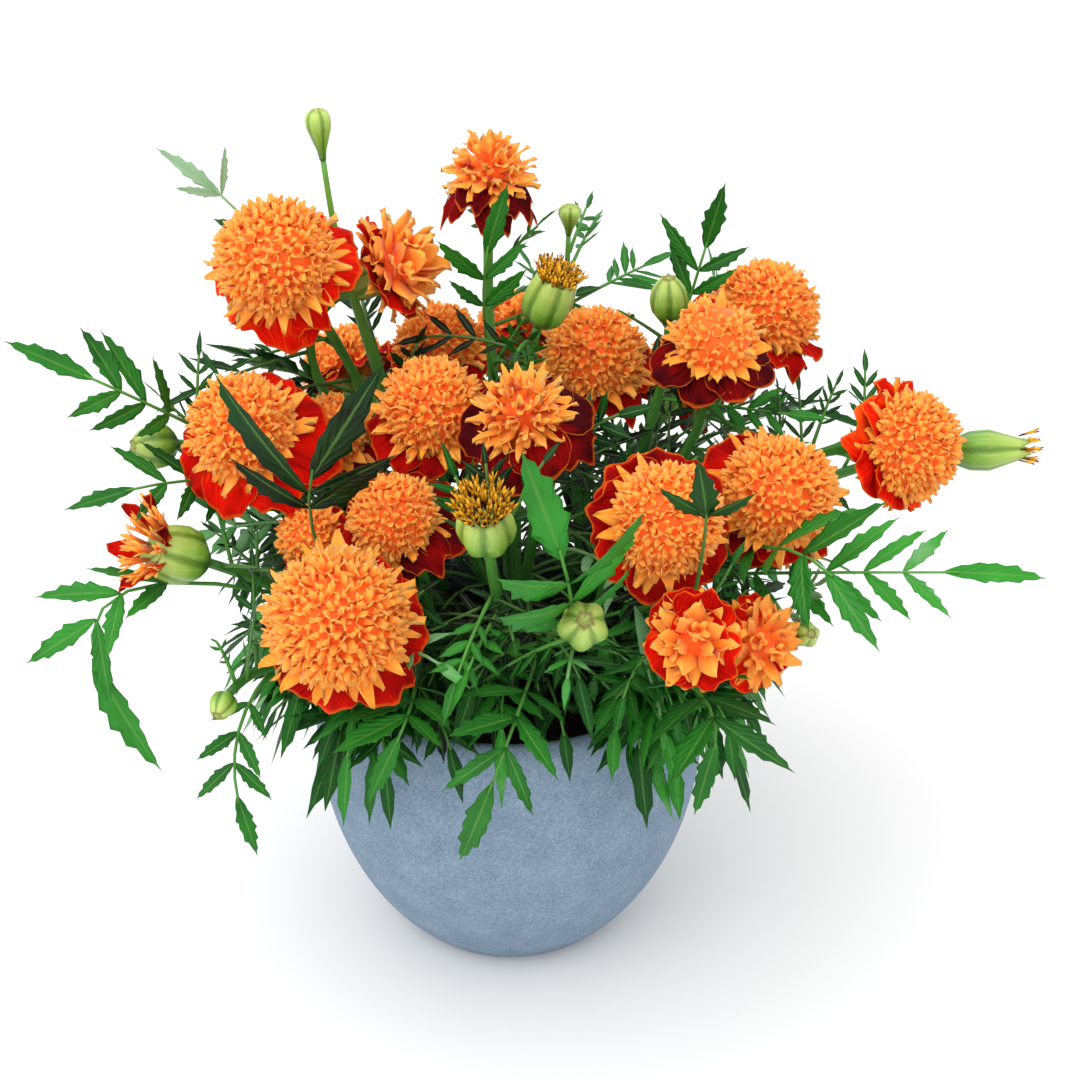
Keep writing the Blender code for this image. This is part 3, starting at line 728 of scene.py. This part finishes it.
def makeBlooms(orange, velvet):
    florets = [floretTemplate(seed) for seed in range(crestLook["templates"])]
    tongues = [tongueTemplate(40 + seed, 0.6, 6, 4, 0.0, 0.10, 0.45) for seed in range(4)]
    petals = [tongueTemplate(80 + seed, 0.62, 9, 10, 2.2, 0.13) for seed in range(rayLook["templates"])]
    for number, name in enumerate(blooms, 1):
        rng = random.Random(number)
        head, look = heads[name], bloomLooks.get(name, {})
        crest, reach = head["crest"] * look.get("swell", 1.0), head["radius"]
        frameOf = aimed(head["foot"], head["facing"], rng.uniform(0, math.tau))
        fullness = look.get("fullness", 1.0)

        # the crest: florets on a spiral over the dome, from its middle outwards
        bm = newBmesh()
        fuller = crest / crestLook["fullRadius"]
        count = round(crestLook["florets"] * fuller ** 1.35 * (0.06 + 0.94 * fullness))
        middle = Vector((0, 0, 0.42 * head["crest"]))
        cap = 1 - math.cos(math.radians(crestLook["cover"]))
        mouth = min(crestLook["widestMouth"], crest * math.sqrt(2 * cap / count) * 1.10)
        for i in range(count):
            tilt = math.acos(1 - cap * (i + 0.5) / count)
            turn = i * goldenTurn
            way = Vector((math.sin(tilt) * math.cos(turn), math.sin(tilt) * math.sin(turn), math.cos(tilt)))
            lean = (way + Vector((rng.gauss(0, 0.16), rng.gauss(0, 0.16), rng.gauss(0, 0.16)))).normalized()
            far = crest * (0.98 - 0.10 * smoothStep(1.3, 1.85, tilt)) * rng.uniform(0.91, 1.04)
            if fullness < 0.9:
                far *= rng.uniform(0.86, 1.05)
            near = far - crestLook["tube"] * crest
            wide = mouth * rng.uniform(0.85, 1.15)
            size = Matrix.Diagonal((wide, wide, far - near, 1))
            place = aimed(middle + way * far - lean * (far - near), lean, rng.uniform(0, math.tau)) @ size
            addCopy(bm, florets[rng.randrange(len(florets))], frameOf @ place, rng.uniform(0, 0.75))
        # then broad petals among them and longer ones round its foot
        broad = look.get("broad", 0)
        loose = round(crestLook["loose"] * fuller ** 0.6)
        for i in range(broad + loose):
            under = i >= broad
            tilt = math.acos(1 - 1.1 * (i + 0.5) / max(1, broad)) if not under else rng.uniform(1.45, 1.95)
            turn = i * goldenTurn if not under else math.tau * (i + rng.uniform(-0.3, 0.3)) / loose
            out = Vector((math.sin(tilt) * math.cos(turn), math.sin(tilt) * math.sin(turn), math.cos(tilt)))
            side = Vector((-math.sin(turn), math.cos(turn), rng.uniform(-0.5, 0.5))).normalized()
            up = side.cross(out).normalized()
            side = out.cross(up)
            long = crest * (rng.uniform(0.70, 0.92) if under else rng.uniform(0.84, 1.06))
            wide = crestLook["looseWidth"] if under else look.get("petal", 3.0)
            wide = wide * rng.uniform(0.75, 1.25) * mm
            start = middle + out * (0.34 if under else 0.20) * crest
            place = framed(start, side * wide, out * long, up * long)
            addCopy(bm, tongues[rng.randrange(len(tongues))], frameOf @ place,
                    rng.uniform(0.6, 1.0) if under else rng.uniform(0.3, 0.8))
        # a solid heart, flat below, so that no gap between florets shows through; with no UV of its own it
        # takes the painted throat shade
        heartRadius = crestLook["heart" if fullness > 0.5 else "looseHeart"] * crest
        heart = bmesh.ops.create_uvsphere(bm, u_segments=20, v_segments=12, radius=heartRadius)["verts"]
        for vert in heart:
            vert.co.z = middle.z + vert.co.z * (1.0 if vert.co.z > 0 else 0.3)
        bmesh.ops.transform(bm, matrix=frameOf, verts=heart)
        newPiece("crest_%02d" % number, bm, orange, "petals", name)

        # the ray petals
        bm = newBmesh()
        rows = [(look.get("count", rayLook["count"]), 1.0, 0.0), (look.get("inner", 0), 0.72, 0.45)]
        for petalCount, share, steep in rows:
            for i in range(petalCount):
                older = len(bm.verts)
                turn = math.tau * (i + rng.uniform(-0.22, 0.22) + steep) / petalCount
                wild = look.get("wild", 0)
                rise = rng.uniform(0.0, 0.25) + steep + rng.uniform(0.0, 0.6) * wild
                out = Vector((math.cos(turn), math.sin(turn), rise)).normalized()
                side = Vector((-math.sin(turn), math.cos(turn), rng.uniform(-0.30, 0.30))).normalized()
                up = side.cross(out).normalized()
                up = up if up.z > 0 else -up
                side = out.cross(up)
                long = (reach * share - rayLook["start"]) * rng.uniform(0.92 - 0.3 * wild, 1.12)
                halfWidth = math.pi * reach * share / petalCount * rng.uniform(1.05, 1.35)
                height = 0.10 * crest + (0.6 + 0.8 * (i % 2)) * mm
                start = out * rayLook["start"] + Vector((0, 0, height))
                place = framed(start, side * halfWidth, out * long, up * long)
                addCopy(bm, petals[rng.randrange(len(petals))], frameOf @ place,
                        0.05 + 0.95 * look.get("red", 0.5) * rng.uniform(0.75, 1.15))
                droop(bm, older, frameOf, look.get("droop", 0.4) * rng.uniform(0.6, 1.3), reach)
        newPiece("rays_%02d" % number, bm, velvet, "petals", name)


# Buds and spent heads

budLook = {
    "closed": [(0, 0.30), (0.10, 0.62), (0.26, 0.92), (0.50, 1.0), (0.72, 0.88), (0.90, 0.58), (1.0, 0.30)],
    "club": [(0, 0.26), (0.20, 0.38), (0.42, 0.68), (0.66, 0.98), (0.84, 1.0), (0.95, 0.80), (1.0, 0.50)],
    "cup": [(0, 0.24), (0.08, 0.50), (0.28, 0.90), (0.52, 1.0), (0.80, 0.93), (1.0, 0.78)],
    "pod": [(0, 0.26), (0.12, 0.58), (0.34, 0.94), (0.58, 1.0), (0.82, 0.70), (1.0, 0.46)],
    "burnt": "#5d2408",
    "ochre": "#d79a14",
    "straw": "#e8b02a",
}
# the outline, the share of the head that is green, and what stands out of it
budKinds = {
    "bud_1": ("club", 1.0, None), "bud_2": ("club", 1.0, None), "bud_3": ("closed", 1.0, None),
    "bud_4": ("closed", 1.0, None), "bud_5": ("closed", 1.0, None), "bud_6": ("closed", 1.0, None),
    "bud_7": ("closed", 1.0, None), "opening_bud": ("cup", 0.62, "tubes"),
    "spent_head_front": ("cup", 0.68, "tuft"), "spent_head_back": ("cup", 0.80, "tuft"),
    "seed_head_right": ("pod", 0.84, "wisp"),
}
budHeads = {name: measureHead(name) for name in budKinds}


def witheredTuft():
    # Florets that have dried on the head: papery ochre with burnt red-brown tips.
    material, tree, shader = newMaterial("witheredTuft", Roughness=0.75, Specular_IOR_Level=0.2)
    uv = addNode(tree, "UVMap", {"uv_map": "UVMap"})
    along = addNode(tree, "SeparateXYZ", {}, {0: uv}).outputs[1]
    place = addNode(tree, "TexCoord").outputs["Object"]
    patch = addNode(tree, "TexNoise", {"Scale": perMetre(2.2), "Detail": 2.0}, {"Vector": place})
    level = addNode(tree, "Math", {"operation": "MULTIPLY_ADD", 1: 0.9, 2: -0.45}, {0: patch})
    level = addNode(tree, "Math", {"operation": "ADD"}, {0: along, 1: level})
    colour = addNode(tree, "ValToRGB", {"stops": [
        (0.2, budLook["burnt"]), (0.5, budLook["ochre"]), (0.8, budLook["straw"]), (1.0, budLook["burnt"])]},
        {"Fac": level})
    plug(tree, shader, {"Base Color": colour})
    return material


def makeBuds(skin, orange, velvet, dried):
    florets = [floretTemplate(200 + seed) for seed in range(4)]
    tongues = [tongueTemplate(240 + seed, 0.7, 6, 3, 1.0, 0.16) for seed in range(3)]
    for number, (name, (outline, green, extra)) in enumerate(budKinds.items()):
        rng = random.Random(300 + number)
        head = budHeads[name]
        ribs, rib, teeth, tone = {"closed": (5, 0.09, 0.03, 1.0), "club": (5, 0.03, 0.0, 0.4),
                                  "cup": (6, 0.06, 0.08, 0.0), "pod": (5, 0.05, 0.08, 0.0)}[outline]
        cup = ribbedCup(budLook[outline], ribs, rib, 40, 18, teeth, tone)
        wide = head["radius"]
        size = Matrix.Diagonal((wide, wide, head["length"] * green, 1))
        place = aimed(head["foot"], head["facing"], rng.uniform(0, 6))
        bmesh.ops.transform(cup, matrix=place @ size, verts=cup.verts)
        newPiece(name + "_bracts", cup, skin, "bud_green", name)
        if not extra:
            continue
        bm = newBmesh()
        top = head["length"] * green
        rest = head["length"] * (1 - green)
        pieces = {"tubes": 17, "tuft": 46, "wisp": 9}[extra]
        spread = {"tubes": 0.85, "tuft": 0.50, "wisp": 0.28}[extra]
        for i in range(pieces):
            share = math.sqrt((i + 0.5) / pieces)
            turn = i * goldenTurn
            lean = spread * share
            way = Vector((math.sin(lean) * math.cos(turn), math.sin(lean) * math.sin(turn), math.cos(lean)))
            start = Vector((way.x, way.y, 0)).normalized() * share * 0.62 * wide + Vector((0, 0, top * 0.86))
            long = (rest + top * 0.14) * rng.uniform(0.80, 1.08)
            mouth = {"tubes": 1.8, "tuft": 1.1, "wisp": 0.9}[extra] * mm * rng.uniform(0.8, 1.2)
            matrix = place @ aimed(start, way, rng.uniform(0, 6)) @ Matrix.Diagonal((mouth, mouth, long, 1))
            addCopy(bm, florets[rng.randrange(4)], matrix, rng.uniform(0, 0.7))
        newPiece(name + "_" + extra, bm, orange if extra == "tubes" else dried, "petals", name)
        if extra == "tubes":
            bm = newBmesh()
            for i in range(6):
                turn = math.tau * (i + rng.uniform(-0.2, 0.2)) / 6
                out = Vector((math.cos(turn), math.sin(turn), 1.1)).normalized()
                side = Vector((-math.sin(turn), math.cos(turn), 0))
                long = (rest + 3 * mm) * rng.uniform(0.8, 1.05)
                start = Vector((math.cos(turn), math.sin(turn), 0)) * 0.6 * wide + Vector((0, 0, top * 0.9))
                matrix = framed(start, side * 3.4 * mm, out * long, side.cross(out).normalized() * long)
                addCopy(bm, tongues[i % 3], place @ matrix, rng.uniform(0.1, 0.7))
            newPiece(name + "_rays", bm, velvet, "petals", name)


# Leaves

leafLook = {
    # near-black painted shade for leaves inside the plant
    "paintedShade": "#010e03",
    "green": "#0f4f10",
    "fresh": "#319128",
    # a painted highlight: the pale grey-green of leaves washed out by light
    "pale": "#8bb08a",
    "rib": "#6b9c48",
    "slender": 0.145,  # half a leaflet's width, as a share of its length
    "templates": 6,
    "rachis": 0.5 * mm,
    "hangingLength": (52, 84),  # millimetres, of small leaves
    "uprightLength": (30, 60),
    "spacing": 3.2 * mm,  # between the feet of small leaves
    "lowReach": 104 * mm,  # how far out small leaves go near the rim
    "highReach": 132 * mm,
    "highest": 262 * mm,
    "sproutsPerPlant": 155,
    "hanging": 0.34,  # the share of them that hang over the rim
}
# Of each large leaf: its tone (0 near-black, as painted shade, to 0.8 fresh; above 0.9 pale, as a
# painted highlight), the share of bare leafstalk, the terminal leaflet as a share of the length, its
# pairs, which of the longest ways along its solid leads to the tip, and how broad its leaflets are.
leafKinds = {
    "leaf_left_upper": (0.52, 0.34, 0.33, 3, 0, 0.85), "leaf_top_left": (1.0, 0.70, 0.30, 1, 2, 0.62),
    "leaf_left_arching": (0.62, 0.24, 0.31, 3, 0, 0.80), "leaf_left_middle": (0.48, 0.36, 0.28, 3, 2, 0.8),
    "leaf_low_left": (0.50, 0.20, 0.30, 3, 0, 0.9), "leaf_front_left": (0.14, 0.50, 0.40, 2, 0, 0.72),
    "leaf_centre": (0.68, 0.30, 0.36, 3, 2, 0.95), "leaf_front_right": (0.30, 0.62, 0.40, 1, 0, 1.0),
    "leaf_right_broad": (0.56, 0.30, 0.34, 3, 2, 0.84), "leaf_right_long": (0.74, 0.25, 0.26, 5, 0, 0.70),
    "leaf_over_rim_right": (0.45, 0.28, 0.32, 3, 1, 0.86),
    "leaf_over_rim_front": (0.50, 0.22, 0.28, 4, 0, 0.78),
    "leaf_over_rim_left": (0.50, 0.30, 0.32, 3, 0, 0.9), "leaf_top_right": (0.50, 0.42, 0.36, 2, 0, 0.9),
    "leaf_top_middle": (0.55, 0.40, 0.34, 2, 2, 0.9), "leaf_back_left": (0.4, 0.26, 0.30, 4, 0, 0.9),
    "leaf_back": (0.4, 0.26, 0.30, 4, 0, 0.9), "leaf_back_right": (0.4, 0.26, 0.30, 4, 2, 0.9),
}
leafTucks = {"leaf_front_right": (2, 22, -9)}  # millimetres that a soft tip sinks from its solid's


def leafBlade():
    # Leaf blades: satin green, a paler midrib and side veins that dimple the surface, and a tone that
    # runs from near-black painted shade through dark and fresh green to a pale grey-green painted highlight.
    material, tree, shader = newMaterial("leafBlade", Roughness=0.46, Specular_IOR_Level=0.22)
    uv = addNode(tree, "UVMap", {"uv_map": "UVMap"})
    parts = addNode(tree, "SeparateXYZ", {}, {0: uv})
    place = addNode(tree, "TexCoord").outputs["Object"]
    tone = addNode(tree, "Attribute", {"attribute_name": "tone"}).outputs["Fac"]
    cloud = addNode(tree, "TexNoise", {"Scale": perMetre(12), "Detail": 3.0}, {"Vector": place})
    level = addNode(tree, "Math", {"operation": "MULTIPLY_ADD", 1: 0.36, 2: -0.18}, {0: cloud})
    level = addNode(tree, "Math", {"operation": "ADD"}, {0: tone, 1: level})
    # from near-black painted shade up to a pale grey-green painted highlight
    stops = [(0.05, leafLook["paintedShade"]), (0.40, leafLook["green"]), (0.78, leafLook["fresh"]),
             (1.0, leafLook["pale"])]
    blade = addNode(tree, "ValToRGB", {"stops": stops}, {"Fac": level})
    aside = addNode(tree, "Math", {"operation": "MULTIPLY_ADD", 1: 2.0, 2: -1.0}, {0: parts.outputs[0]})
    aside = addNode(tree, "Math", {"operation": "ABSOLUTE"}, {0: aside})
    rib = addNode(tree, "MapRange", {"From Min": 0.15, "From Max": 0.01, "To Max": 0.42}, {"Value": aside})
    colour = addNode(tree, "Mix", {"data_type": "RGBA", 7: toLinear(leafLook["rib"])}, {0: rib, 6: blade})
    slant = addNode(tree, "Math", {"operation": "MULTIPLY_ADD", 1: -0.35}, {0: aside, 2: parts.outputs[1]})
    veins = addNode(tree, "Math", {"operation": "MULTIPLY", 1: math.tau * 7}, {0: slant})
    veins = addNode(tree, "Math", {"operation": "SINE"}, {0: veins})
    bump = addNode(tree, "Bump", {"Strength": 0.35, "Distance": 0.25 * mm}, {"Height": veins})
    plug(tree, shader, {"Base Color": colour.outputs[2], "Normal": bump})
    return material


def leafletTemplate(seed, rows, columns):
    # a lance-shaped blade along +Y, one unit long and half wide, with a few forward teeth;
    # its folds are in units of that half width
    rng = random.Random(seed)
    bm = newBmesh()
    bmesh.ops.create_grid(bm, x_segments=columns, y_segments=rows, size=1)
    writeUv(bm, lambda co: (co.x * 0.5 + 0.5, co.y * 0.5 + 0.5))
    toothed = [rng.random() < 0.75 for _ in range(2 * rows + 2)]
    bend, fold, sweep = rng.uniform(-1.1, 0.3), rng.uniform(0.18, 0.42), rng.uniform(-0.35, 0.35)
    for vert in bm.verts:
        across, along = vert.co.x, vert.co.y * 0.5 + 0.5
        row = round(along * rows)
        half = 0.07 + 0.93 * math.sin(math.pi * along ** 0.85) ** 1.05 * (1 - 0.3 * along ** 4)
        half *= 1 - along ** 9
        shift = 0.0
        if abs(across) > 0.9 and 0.25 * rows <= row <= rows - 1:
            if row % 2 == 0 and toothed[row + (rows if across > 0 else 0)]:
                half *= 1.20 if rows > 8 else 1.12
                shift = 0.4 / rows
            elif row % 2:
                half *= 0.86 if rows > 8 else 0.93
        vert.co.x = across * half + sweep * along * along
        vert.co.y = along + shift
        vert.co.z = fold * abs(across) * half + bend * along * along
    bmesh.ops.solidify(bm, geom=bm.faces, thickness=0.012)
    return asTemplate("leaflet", bm)


largeLeaflets = [leafletTemplate(500 + seed, 12, 4) for seed in range(leafLook["templates"])]
smallLeaflets = [leafletTemplate(550 + seed, 6, 2) for seed in range(leafLook["templates"])]


def curvePoint(curve, share):
    start, bend, tip = curve
    rest = 1 - share
    point = start * rest ** 2 + bend * 2 * rest * share + tip * share ** 2
    return point, ((bend - start) * rest + (tip - bend) * share).normalized()


def addLeaf(bm, curve, light, tone, bare, terminal, pairs, leaflets, rng, slender=1.0):
    # a feathered leaf that turns its face to the light: a thin rachis, leaflets in pairs and
    # a larger one at the tip
    length = sum((curvePoint(curve, (i + 1) / 6)[0] - curvePoint(curve, i / 6)[0]).length for i in range(6))
    across = (curve[2] - curve[0]).cross(light).normalized()
    tipFrom = 1 - terminal
    stations = np.linspace(0, tipFrom + 0.04, 7)
    radii = [leafLook["rachis"] * (1.5 - 0.9 * s) for s in stations]
    addTube(bm, [curvePoint(curve, s)[0] for s in stations], radii, 5, tone + 0.08)

    def addLeaflet(place, way, up, size, wide):
        side = way.cross(up).normalized()
        half = size * leafLook["slender"] * wide * slender
        matrix = framed(place, side * half, way * size, side.cross(way) * half)
        addCopy(bm, leaflets[rng.randrange(len(leaflets))], matrix, tone + rng.uniform(-0.07, 0.07))

    for pair in range(pairs):
        share = bare + (tipFrom - bare) * pair / pairs
        place, along = curvePoint(curve, share)
        up = across.cross(along).normalized()
        for hand in (-1, 1):
            size = length * terminal * (0.68, 0.82, 0.80, 0.72, 0.62)[min(pair, 4)] * rng.uniform(0.82, 1.12)
            way = across * hand * rng.uniform(0.50, 0.85) + along * 0.72 + up * rng.uniform(-0.20, 0.30)
            lean = (up + across * hand * rng.uniform(-0.3, 0.3)).normalized()
            addLeaflet(place, way.normalized(), lean, size, rng.uniform(0.85, 1.15))
    place, along = curvePoint(curve, tipFrom)
    rest = curve[2] - place
    addLeaflet(place, rest.normalized(), across.cross(along).normalized(), rest.length, 0.95)


def clearOfHeads(points, slack):
    # no leaf runs through a head or hides the face of one
    for head in [*heads.values(), *budHeads.values()]:
        middle = head["foot"] + head["facing"] * 0.55 * head["length"]
        for point in points:
            offset = point - middle
            if offset.length < head["radius"] * 0.9 + slack:
                return False
            ahead = offset.dot(head["facing"])
            if 0 < ahead < 45 * mm and (offset - head["facing"] * ahead).length < head["radius"] * 0.8:
                return False
    return True


def clearOfPot(points):
    low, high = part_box("pot")
    for point in points:
        reach = point.xy.length
        if point.z < high.z + 2 * mm and reach > potRadius(high.z) - 8 * mm:
            if reach < potRadius(max(0.0, min(point.z, high.z))) + 4 * mm:
                return False
        if point.z < high.z - 8 * mm and reach < potRadius(high.z):
            return False
    return True


def insideBox(points, margin):
    low, high = cadBox
    return all(low[i] + margin < p[i] < high[i] - margin for p in points for i in range(3))


def sprout(bm, name, rng, wanted):
    # small leaves from points on one plant's stems, spread evenly and clear of the blooms
    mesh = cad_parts[name].data
    mesh.calc_loop_triangles()
    feet = [head["foot"] for head in heads.values()]
    faces = [t for t in mesh.loop_triangles if 0.108 < t.center[2] < 0.262 and t.area > 1e-7
             and min((Vector(t.center) - foot).length for foot in feet) > 19 * mm]
    weights = [t.area * (1 + 1.6 * smoothStep(0.17, 0.22, t.center[2])) for t in faces]
    low = [t for t in faces if t.center[2] < 0.158]
    lowWeights = [t.area for t in low]
    scratch = bpy.data.meshes.new("scratch")
    used, made, tries = [], 0, 0
    while made < wanted and tries < 9000:
        tries += 1
        hangs = made < wanted * leafLook["hanging"] and tries < 3000
        face = rng.choices(low, lowWeights)[0] if hangs else rng.choices(faces, weights)[0]
        start = Vector(face.center)
        if any((start - other).length < leafLook["spacing"] for other in used):
            continue
        outward = Vector((start.x, start.y, 0))
        outward = outward.normalized() if outward.length > 1 * mm else Vector((1, 0, 0))
        outward = Matrix.Rotation(rng.gauss(0, 0.5), 3, "Z") @ outward
        if hangs:
            length = rng.uniform(*leafLook["hangingLength"]) * mm
            bend = start + outward * length * 0.62 + Vector((0, 0, length * rng.uniform(0.15, 0.45)))
            tip = start + outward * length * rng.uniform(0.68, 0.95)
            tip -= Vector((0, 0, length * rng.uniform(0.0, 0.42)))
        else:
            sunk = smoothStep(0.19, 0.12, start.z)
            way = Vector(face.normal) * 0.8 + outward * rng.uniform(0.0, 0.8)
            way += Vector((rng.gauss(0, 0.35), rng.gauss(0, 0.35), rng.uniform(0.0, 1.0) - 0.2 * sunk))
            way.normalize()
            length = rng.uniform(*leafLook["uprightLength"]) * mm
            bend = start + way * length * 0.55
            tip = start + way * length - Vector((0, 0, length * rng.uniform(0.0, 0.35 + 0.3 * sunk)))
        curve = (start, bend, tip)
        points = [curvePoint(curve, s)[0] for s in (0.25, 0.4, 0.55, 0.7, 0.85, 1.0)]
        reaches = [leafLook["lowReach" if point.z < 0.155 else "highReach"] for point in points]
        if tip.z > leafLook["highest"] or any(p.xy.length > r for p, r in zip(points, reaches)):
            continue
        if not (insideBox(points, 6 * mm) and clearOfPot(points) and clearOfHeads(points, 3.5 * mm)):
            continue
        used.append(start)
        made += 1
        spread = tip.xy.length
        # Painted shade and light: leaves inside the plant get a near-black tone, those that reach out, up or
        # over the rim a fresher one.
        reach = max(smoothStep(0.06, 0.12, spread), smoothStep(0.18, 0.26, tip.z),
                    smoothStep(0.165, 0.135, tip.z) * smoothStep(0.06, 0.09, spread))
        tone = -0.16 + 0.72 * reach * rng.uniform(0.5, 1.1) + rng.uniform(-0.05, 0.18)
        tone += 0.30 * reach * (rng.random() < 0.14)  # a few of the outer ones get a pale grey-green painted highlight
        light = outward * rng.uniform(0.1, 0.7) + Vector((rng.gauss(0, 0.3), rng.gauss(0, 0.3) - 0.2, 0.7))
        single = newBmesh()
        addLeaf(single, curve, light, tone, rng.uniform(0.16, 0.34), rng.uniform(0.28, 0.38),
                rng.choice((2, 3, 3, 4)), smallLeaflets, rng, rng.uniform(0.6, 1.0))
        single.to_mesh(scratch)
        single.free()
        bm.from_mesh(scratch)
    bpy.data.meshes.remove(scratch)
    return made


def makeLeaves(material):
    for number, name in enumerate(leaves):
        rng = random.Random(600 + number)
        bm = newBmesh()
        tone, bare, terminal, pairs, order, slender = leafKinds[name]
        first, bend, tip = measureLeaf(name, order)
        tip += Vector(leafTucks.get(name, (0, 0, 0))) * mm
        light = Vector((0, 0.7 if "back" in name else -0.7, 0.75))
        addLeaf(bm, (first, bend, tip), light, tone, bare, terminal, pairs, largeLeaflets, rng, slender)
        newPiece(name.replace("leaf_", "frond_"), bm, material, "leaf_green", name)
    for number, name in enumerate(plants):
        bm = newBmesh()
        made = sprout(bm, name, random.Random(700 + number), leafLook["sproutsPerPlant"])
        newPiece(name.replace("_stems", "_foliage"), bm, material, "leaf_green")
        print(name, "carries", made, "small leaves")


# The studio

studio = {
    "cameraPlace": (0.0109, -0.5268, 0.4397),
    "cameraPitch": 28.6,  # degrees below level
    "lens": 58.04,
    "sky": 1.22,
    "keyPlace": (-0.40, -0.62, 1.35),
    "keySize": 1.3,
    "keyPower": 13.5,
    "paper": "#e9e9e9",
}


def makeStudio():
    scene = bpy.context.scene
    scene.view_settings.view_transform = "Standard"
    world = bpy.data.worlds.new("studioWhite")
    world.use_nodes = True
    world.node_tree.nodes["Background"].inputs[0].default_value = (1, 1, 1, 1)
    world.node_tree.nodes["Background"].inputs[1].default_value = studio["sky"]
    scene.world = world
    key = bpy.data.lights.new("softKey", "AREA")
    key.size = studio["keySize"]
    key.energy = studio["keyPower"]
    lamp = bpy.data.objects.new("softKey", key)
    lamp.location = studio["keyPlace"]
    lamp.rotation_euler = (Vector((0, 0, 0.14)) - lamp.location).to_track_quat("-Z", "Y").to_euler()
    scene.collection.objects.link(lamp)
    bm = bmesh.new()
    below = Matrix.Translation((0, 0, -0.2 * mm))
    bmesh.ops.create_grid(bm, x_segments=1, y_segments=1, size=6, matrix=below)
    mesh = bpy.data.meshes.new("paleFloor")
    bm.to_mesh(mesh)
    bm.free()
    floor = bpy.data.objects.new("paleFloor", mesh)
    scene.collection.objects.link(floor)
    paper, _, _ = newMaterial("matteWhitePaper", Roughness=0.95, Base_Color=toLinear(studio["paper"]))
    mesh.materials.append(paper)
    camera = bpy.data.objects.new("camera", bpy.data.cameras.new("camera"))
    camera.data.lens = studio["lens"]
    camera.location = studio["cameraPlace"]
    camera.rotation_euler = (math.radians(90 - studio["cameraPitch"]), 0, 0)
    scene.collection.objects.link(camera)
    scene.camera = camera


makePot()
makeSoil()
print("pot and soil made")
stemGreen = stemSkin()
bractGreen = calyxSkin()
makeStems(stemGreen)
makeCups(bractGreen)
print("stems and cups made")
orangeVelvet = crestFloret()
redVelvet = rayPetal()
makeBlooms(orangeVelvet, redVelvet)
print("blooms made")
makeBuds(bractGreen, orangeVelvet, redVelvet, witheredTuft())
print("buds made")
makeLeaves(leafBlade())
print("leaves made")
makeStudio()
